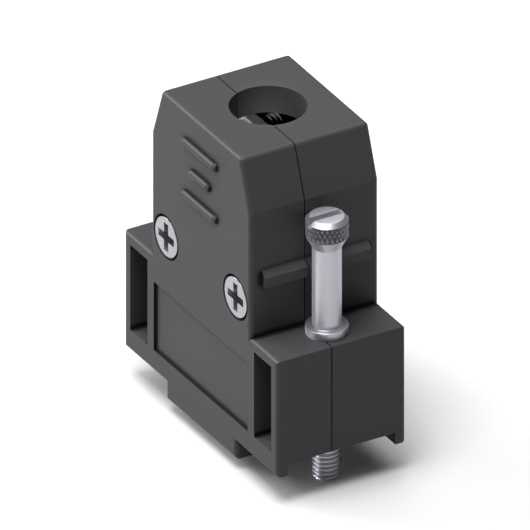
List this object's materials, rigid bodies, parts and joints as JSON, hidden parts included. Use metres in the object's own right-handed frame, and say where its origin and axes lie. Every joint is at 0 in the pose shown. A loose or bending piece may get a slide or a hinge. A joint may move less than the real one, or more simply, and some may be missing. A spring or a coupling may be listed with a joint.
{
  "type": "d-sub hood",
  "caption": "Straight backshell for a small D-sub connector: two moulded halves, captive knurled jackscrews and an inner cable clamp.",
  "frame": {"origin": "midway between the two jackscrews, on the plane of the ears' feet", "axes": "+X along the broad face, -Y towards the face with the case screws, +Z towards the cable"},
  "size_m": [0.031, 0.016, 0.0368],
  "materials": {
    "shell_plastic": "fine moulded grain, charcoal",
    "case_screw_zinc": "bright zinc plate",
    "jackscrew_nickel": "satin nickel plate, turned",
    "spring_steel": "plain spring steel",
    "clamp_steel": "zinc-plated pressed steel"
  },
  "bodies": {
    "housing": {"front_shell": "shell_plastic", "rear_shell": "shell_plastic", "case_screw_left": "case_screw_zinc", "case_screw_right": "case_screw_zinc", "clamp_saddle_front": "clamp_steel", "clamp_saddle_rear": "clamp_steel", "clamp_screw_left": "clamp_steel", "clamp_screw_right": "clamp_steel"},
    "left_ring": {"retaining_ring_left": "spring_steel"},
    "left_jackscrew": {"jackscrew_left": "jackscrew_nickel"},
    "right_ring": {"retaining_ring_right": "spring_steel"},
    "right_jackscrew": {"jackscrew_right": "jackscrew_nickel"}
  },
  "joints": [
    {"name": "left_float", "type": "slide", "parent": "housing", "child": "left_ring", "axis": [0, 0, 1], "range_m": [0, 0.003]},
    {"name": "left_turn", "type": "hinge", "parent": "left_ring", "child": "left_jackscrew", "pos_m": [-0.0125, 0, 0], "axis": [0, 0, 1], "continuous": true},
    {"name": "right_float", "type": "slide", "parent": "housing", "child": "right_ring", "axis": [0, 0, 1], "range_m": [0, 0.003]},
    {"name": "right_turn", "type": "hinge", "parent": "right_ring", "child": "right_jackscrew", "pos_m": [0.0125, 0, 0], "axis": [0, 0, 1], "continuous": true}
  ]
}
